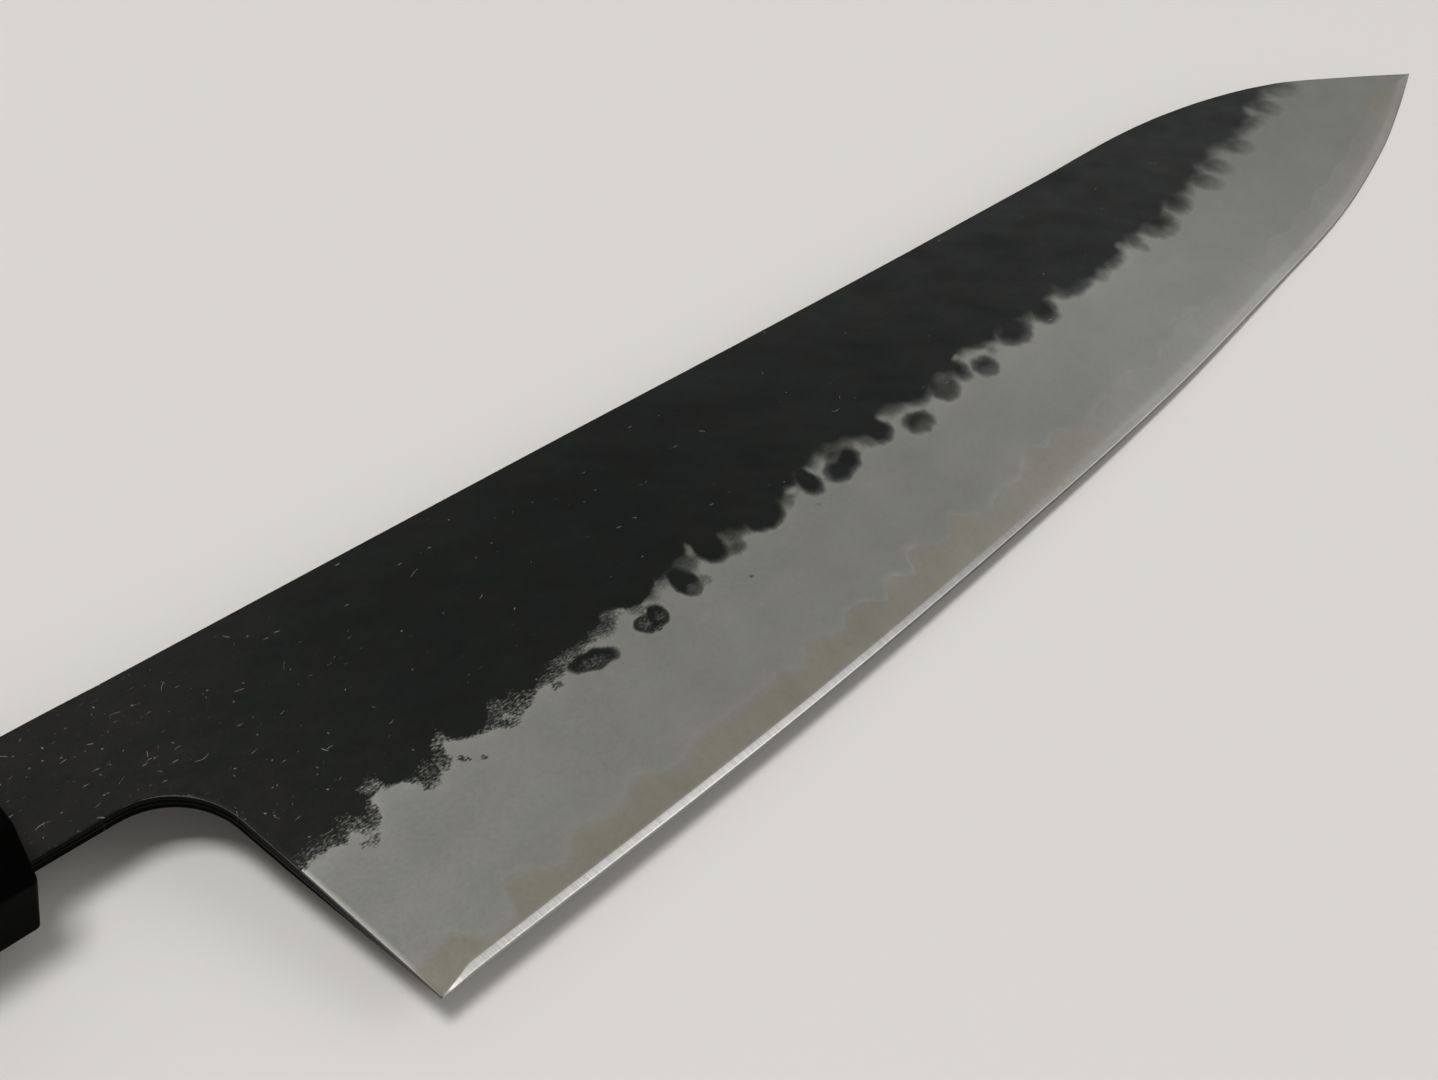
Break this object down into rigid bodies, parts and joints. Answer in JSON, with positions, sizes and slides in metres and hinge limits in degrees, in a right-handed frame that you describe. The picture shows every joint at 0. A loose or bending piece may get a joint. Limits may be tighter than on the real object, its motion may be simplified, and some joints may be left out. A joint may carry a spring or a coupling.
{
  "type": "chef knife",
  "caption": "Forged chef's knife with a ground double bevel and an eight-sided handle with a dark ferrule.",
  "frame": {"origin": "middle of the knife's outline in X and Y, on the plane of the handle's left flank", "axes": "+X along the knife from the butt to the tip, -Y towards the cutting edge, +Z out of the blade's right face"},
  "size_m": [0.4056, 0.0532, 0.0194],
  "materials": {
    "core_steel": "satin ground and whetted carbon steel",
    "forge_scale": "black forge scale above, satin ground iron below",
    "black_horn": "polished black horn",
    "handle_wood": "oiled walnut",
    "dowel_wood": "plain",
    "tang_wax": "set wax"
  },
  "bodies": {
    "root": {"blade_core": "core_steel", "cladding_right": "forge_scale", "cladding_left": "forge_scale", "ferrule": "black_horn", "handle_body": "handle_wood", "handle_dowel": "dowel_wood", "tang_fill": "tang_wax"}
  },
  "joints": []
}
